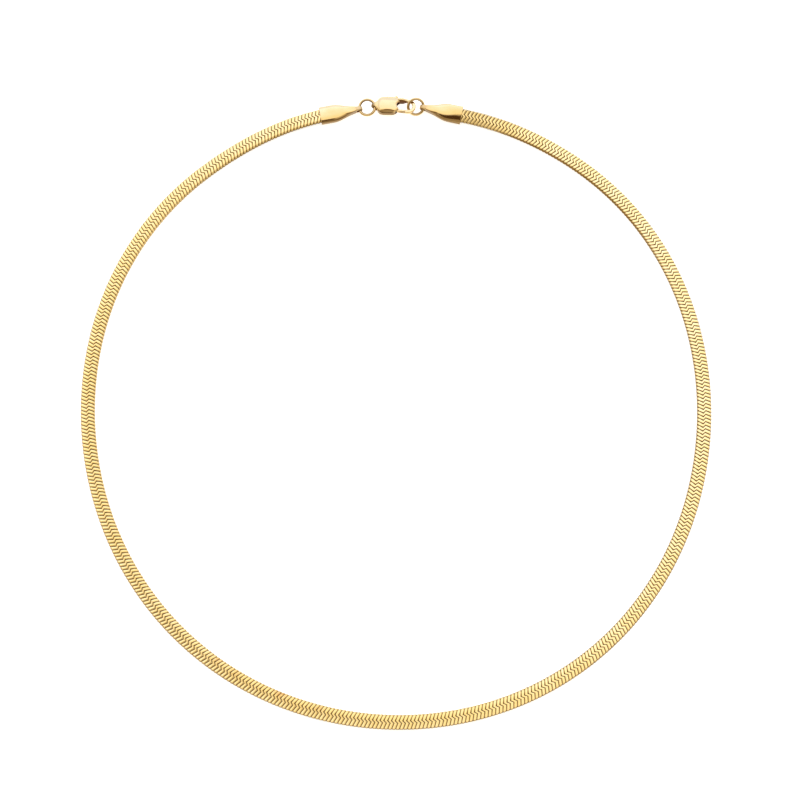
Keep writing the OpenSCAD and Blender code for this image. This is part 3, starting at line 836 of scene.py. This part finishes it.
def clasp_shell(clasp):
    """Pillow with a slot: on each line across it, a loop runs over the top, round the back, along the
    bottom and back through the slot. The top is z = s + (h - s)(1 - |y / w|^n)^(1/n), with h the crest,
    w the half width and s the upright side's half height. A slope z = b + (w + y) tan a, softly joined,
    cuts its gate side, and it rolls over at the front. Also returns how much painted shade each point
    gets."""
    radius = clasp.shell_width / 2.0
    slot = clasp.lever / 2.0 + clasp.lever_gap
    rows, steps, fine = 60, 44, 0.000005
    soft, lowest, roll_over, lip_run, lift = 0.00008, 0.0003, 0.0004, 0.0005, 0.0012
    gate_wall = gate_line(clasp) - clasp.gate / 2.0 - clasp.lever_gap
    y = radius * np.sin(0.5 * np.pi * np.linspace(-1.0, 1.0, rows))
    # two lines close together make the slot's wall beside the gate
    y = np.sort(np.concatenate([y, [gate_wall - fine, gate_wall + fine]]))
    back, front = shell_outline(clasp, y)
    u = 0.5 - 0.5 * np.cos(np.pi * np.linspace(0.0, 1.0, steps))
    x = front[:, None] + (back - front)[:, None] * u
    from_eye = x - tail_eye(clasp)
    side = clasp.side + (clasp.tail_bore / 2.0 - clasp.side) * (1.0 - ease(from_eye / TAIL_RUN))
    crest = clasp_crest(clasp, x)
    half_width = clasp_half_width(clasp, x)
    top = side + (crest - side) * crown(y[:, None] / half_width, clasp.crown)
    bevel = (clasp.bevel + (half_width + y[:, None]) * math.tan(clasp.bevel_slope)
             + lift * (1.0 - ease((from_eye - 0.0003) / TAIL_RUN)))
    top = np.maximum((top + bevel - np.hypot(top - bevel, soft)) / 2.0, lowest)
    slot_back = np.where(y < gate_wall, front - 0.00002, -clasp.shell_run / 4.0)
    slot_half = np.where(y < gate_wall, 0.4 * slot, slot)[:, None]
    near_front = 1.0 - np.clip((front[:, None] - x) / roll_over, 0.0, 1.0)
    top = np.maximum(top, (slot_half + LIP) * ease((x - slot_back[:, None]) / lip_run + 1.0))
    top -= 0.4 * near_front ** 2 * np.maximum(top - slot_half - LIP, 0.0)
    inner = front[:, None] + np.minimum(slot_back - front, -0.00002)[:, None] * np.linspace(0.0, 1.0, 8)
    brow = np.maximum(top[:, :1] - LIP, slot_half + LIP / 2.0)
    loops_x = np.concatenate([front[:, None], x, x[:, ::-1], front[:, None], inner, inner[:, ::-1]], 1)
    flat = np.broadcast_to(slot_half, inner.shape)
    loops_z = np.concatenate([brow, top, -top[:, ::-1], -brow, -flat, flat], 1)
    # painted shade: brown on the gate side, in the throat and in the slot
    painted_side_shade = 0.7 * ease((-y[:, None] / half_width - 0.82) / 0.12)
    in_throat = np.where(y > gate_wall, 1.0, 0.7)[:, None]
    in_slot = np.broadcast_to(in_throat, (len(y), 1 + 2 * inner.shape[1]))
    painted_shade = np.concatenate([in_throat, painted_side_shade, painted_side_shade[:, ::-1], in_slot], 1)
    sections = np.stack([loops_x, np.broadcast_to(y[:, None], loops_x.shape), loops_z], -1)
    return loft(sections, poles=(False, False)), painted_shade.ravel()


def hook_shell(clasp):
    """Spine and hook: a rounded bar carried along the spine, round the bend and back to the gate's end,
    thinning from the neck to the bend."""
    line = (clasp.throat + clasp.hook) / 2.0
    start = clasp.throat_at + HOOK_START
    spine = np.stack([np.linspace(start, clasp.bend_at, SPINE_STEPS, endpoint=False),
                      np.full(SPINE_STEPS, line)], -1)
    turn = np.linspace(0.5 * np.pi, -0.5 * np.pi, BEND_STEPS)
    bend = np.stack([clasp.bend_at + line * np.cos(turn), line * np.sin(turn)], -1)
    reach = clasp.gate_reach + clasp.lever_gap
    stop = clasp.pivot_x + math.sqrt(reach ** 2 - (line + clasp.pivot_y) ** 2)
    arm = np.stack([np.linspace(clasp.bend_at, stop, ARM_STEPS), np.full(ARM_STEPS, -line)], -1)[1:]
    path = np.concatenate([spine, bend, arm])
    path = np.concatenate([path, np.zeros((len(path), 1))], 1)
    thick = clasp.neck_thickness + (clasp.hook_thickness - clasp.neck_thickness) * ease(
        (path[:, 0] - clasp.neck_end) / (clasp.bend_at - clasp.neck_end))
    thick[len(spine):] = clasp.hook_thickness
    loops = superellipse(np.full(len(path), clasp.hook / 2.0), thick / 2.0, HOOK_POWER, HOOK_POINTS)
    return loft(sweep(path, loops, (False, True)))


class NECKLACE_OT_clasp(bpy.types.Operator):
    """Build the clasp: shell, tail, spine and hook in one piece, and the lever in another"""
    bl_idname = "necklace.clasp"
    bl_label = "Clasp"

    def execute(self, context):
        scene = context.scene
        clasp = scene.necklace_clasp
        matrix = turned(2, -clasp.heading) @ turned(0, -clasp.roll)
        gold = polished_gold(scene)
        eye = tail_eye(clasp)
        tail, tail_faces = eyelet(eye, clasp.tail_thickness, clasp.tail_bore,
                                  lambda x: clasp_half_width(clasp, x), clasp.crown)
        # the tail swells to the shell's crest and ends just under its skin
        root = eye + clasp.tail_bore / 2.0
        tail[:, 2] *= (clasp_crest(clasp, tail[:, 0]) / (clasp.tail_thickness / 2.0)
                       * (1.0 - TUCK * ease((tail[:, 0] - root) / (2.0 * HAIR))))
        shell, in_shell = clasp_shell(clasp)
        hook = hook_shell(clasp)
        line, half = (clasp.throat + clasp.hook) / 2.0, clasp.hook / 2.0
        x, y = hook[0][:, 0], hook[0][:, 1]
        # painted shade: brown on the inner face of the spine and at the tail's end
        in_hook = (ease((line - 0.5 * half - y) / (0.3 * half)) * (y > 0.0)
                   * (1.0 - ease((x - 0.0042) / 0.0011)))
        along = np.concatenate([shell[0], hook[0], tail])[:, 0]
        shade_mask = 0.85 * (1.0 - ease((along + clasp.tail) / 0.0013))
        painted_shade = np.maximum(np.concatenate([in_shell, in_hook, np.zeros(len(tail))]), shade_mask)
        body = placed([shell, hook, (tail, tail_faces)], matrix, clasp.at)
        put_piece("clasp_shell_and_hook", body, gold, ROOT_BODY, ["clasp_body"],
                  sharp=40.0, attributes={"painted_shade": painted_shade})
        lever = lever_shells(clasp)
        near = gate_line(clasp) - np.concatenate([part[0] for part in lever])[:, 1]
        # painted shade: brown on the lever's outer side, past the gate's middle line
        painted_shade = 0.6 * ease(near / (0.5 * clasp.gate))
        put_piece("clasp_gate_lever", placed(lever, matrix, clasp.at), gold, LEVER_BODY,
                  ["clasp_lever"], sharp=40.0, attributes={"painted_shade": painted_shade})
        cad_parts["clasp_pin"].material_slots[0].material = gold
        return {"FINISHED"}


def smooth_path(corners, count):
    """Curve through the middles of a broken line's legs, with its corners as control points."""
    corners = np.asarray(corners, float)
    middles = (corners[1:] + corners[:-1]) / 2.0
    t = np.linspace(0.0, 1.0, count, endpoint=False)[:, None]
    legs = []
    for k in range(1, len(corners) - 1):
        a = corners[0] if k == 1 else middles[k - 1]
        b = corners[-1] if k == len(corners) - 2 else middles[k]
        legs.append((1 - t) ** 2 * a + 2 * t * (1 - t) * corners[k] + t ** 2 * b)
    return np.concatenate(legs + [corners[-1:]])


def lever_shells(clasp):
    """The lever in the slot: a gate bar and a thumb nub, each a rounded bar along a curve that narrows
    from the rivet by a smooth step, and a round hub with its edges taken off."""
    half = clasp.lever / 2.0
    line = gate_line(clasp)
    px, py = clasp.pivot_x, clasp.pivot_y
    tip = px + math.sqrt(clasp.gate_reach ** 2 - (line - py) ** 2)
    knee = px + 0.0003
    gate = [(px, py, 0), (knee, line, 0), (tip - 2.0 * HAIR, line, 0)]
    nub = [(px, py, 0), (knee, py + 0.0012, 0), (clasp.throat_at, 0.0025, 0)]
    shells = []
    for corners, widths in ((gate, (GATE_ROOT, clasp.gate)), (nub, (NUB_ROOT, NUB_END))):
        path = smooth_path(corners, LEVER_STEPS)
        along = np.linspace(0.0, 1.0, len(path))
        width = widths[0] + (widths[1] - widths[0]) * ease(along / 0.55)
        loops = superellipse(width / 2.0, np.full(len(path), half), LEVER_POWER, LEVER_POINTS)
        shells.append(loft(sweep(path, loops)))
    rise = half * np.array([-1.0, -1.0, -0.9, 0.9, 1.0, 1.0])
    radius = HUB_RADIUS * np.array([0.5, 0.93, 1.0, 1.0, 0.93, 0.5])
    around = round_angles(HUB_POINTS)
    hub = np.broadcast_arrays(px + radius[:, None] * np.cos(around),
                              py + radius[:, None] * np.sin(around), rise[:, None])
    return shells + [loft(np.stack(hub, -1))]


# Stage

def overhead_light(power):
    """A square soft light that faces the middle of the floor."""
    data = bpy.data.lights.new("overhead", "AREA")
    data.shape, data.size, data.energy = "SQUARE", KEY_SIZE, power
    light = bpy.data.objects.new("overhead", data)
    light.location = KEY_AT
    light.rotation_euler = Vector(KEY_AT).to_track_quat("Z", "Y").to_euler()
    bpy.context.scene.collection.objects.link(light)


def studio_room(stage):
    """Room light: smooth steps of the direction's y lead from the pale low front through the dim warm
    high front to the warm white overhead and the cool white behind, and a soft dark opening lies round
    a direction of its own."""
    world = bpy.data.worlds.new("room")
    world.use_nodes = True
    tree = world.node_tree
    add = node_adder(tree)
    direction = add("ShaderNodeTexCoord").outputs["Generated"]

    def toward(axis, start, stop, far, near):
        along = add("ShaderNodeVectorMath", {0: direction, 1: axis}, operation="DOT_PRODUCT")
        ramp = add("ShaderNodeMapRange", {"Value": along.outputs["Value"], "From Min": start,
                                          "From Max": stop}, interpolation_type="SMOOTHSTEP")
        return blended(add, ramp.outputs["Result"], far, near)

    room = toward((0.0, -1.0, 0.0), 0.66, 0.84, stage.room_front, stage.room_low)
    for start, stop, near in ((-0.5, 0.0, stage.room_over), (0.0, 0.4, stage.room_behind),
                              (0.4, 0.8, stage.room_far)):
        room = toward((0.0, 1.0, 0.0), start, stop, room, near)
    way = np.array(stage.shade_way) / np.linalg.norm(stage.shade_way)
    room = toward(way, math.cos(stage.shade_reach), math.cos(0.6 * stage.shade_reach), room, stage.shade)
    tree.links.new(room, tree.nodes["Background"].inputs["Color"])
    return world


def pale_floor(stage):
    """Plain pale floor that glows a little, so that it is white."""
    material, shader = new_material("pale_floor")[:2]
    shader.inputs["Base Color"].default_value = (*stage.floor, 1.0)
    shader.inputs["Roughness"].default_value = 0.9
    shader.inputs["Specular IOR Level"].default_value = 0.1
    shader.inputs["Emission Color"].default_value = (1.0, 1.0, 1.0, 1.0)
    shader.inputs["Emission Strength"].default_value = stage.floor_glow
    return material


class NECKLACE_OT_stage(bpy.types.Operator):
    """Set the floor, the soft lights, the room and the camera"""
    bl_idname = "necklace.stage"
    bl_label = "Stage"

    def execute(self, context):
        scene = context.scene
        stage = scene.necklace_stage
        corners = FLOOR_REACH * np.array([[-1, -1, 0], [1, -1, 0], [1, 1, 0], [-1, 1, 0]], float)
        mesh = bpy.data.meshes.new("floor")
        mesh.from_pydata(corners, [], [[0, 1, 2, 3]])
        mesh.materials.append(pale_floor(stage))
        floor = bpy.data.objects.new("floor", mesh)
        scene.collection.objects.link(floor)

        scene.world = studio_room(stage)
        overhead_light(stage.key)

        data = bpy.data.cameras.new("camera")
        data.lens, data.sensor_width = stage.lens, 36.0
        data.clip_start, data.clip_end = 0.01, 10.0
        camera = bpy.data.objects.new("camera", data)
        rise = stage.elevation
        camera.location = (stage.target[0], stage.target[1] - stage.distance * math.cos(rise),
                           stage.target[2] + stage.distance * math.sin(rise))
        camera.rotation_euler = (0.5 * math.pi - rise, 0.0, 0.0)
        scene.collection.objects.link(camera)
        scene.camera = camera
        scene.view_settings.view_transform = "Standard"
        return {"FINISHED"}


class NECKLACE_PT_panel(bpy.types.Panel):
    """Sizes, colours and build buttons of the necklace"""
    bl_label = "Necklace"
    bl_idname = "NECKLACE_PT_panel"
    bl_space_type = "VIEW_3D"
    bl_region_type = "UI"
    bl_category = "Necklace"

    def draw(self, context):
        layout = self.layout
        for operator in OPERATORS:
            layout.operator(operator.bl_idname)
        for key, group in GROUPS.items():
            box = layout.box()
            box.label(text=group.__doc__)
            for name in group.__annotations__:
                box.prop(getattr(context.scene, key), name)


OPERATORS = (NECKLACE_OT_chain, NECKLACE_OT_end_caps, NECKLACE_OT_jump_rings, NECKLACE_OT_clasp,
             NECKLACE_OT_stage)
CLASSES = (*GROUPS.values(), *OPERATORS, NECKLACE_PT_panel)


def register():
    for cls in CLASSES:
        bpy.utils.register_class(cls)
    for key, group in GROUPS.items():
        setattr(bpy.types.Scene, key, PointerProperty(type=group))


def unregister():
    for key in GROUPS:
        delattr(bpy.types.Scene, key)
    for cls in reversed(CLASSES):
        bpy.utils.unregister_class(cls)


def main():
    register()
    bpy.ops.necklace.chain()
    bpy.ops.necklace.end_caps()
    bpy.ops.necklace.jump_rings()
    bpy.ops.necklace.clasp()
    bpy.ops.necklace.stage()


if __name__ == "__main__":
    main()
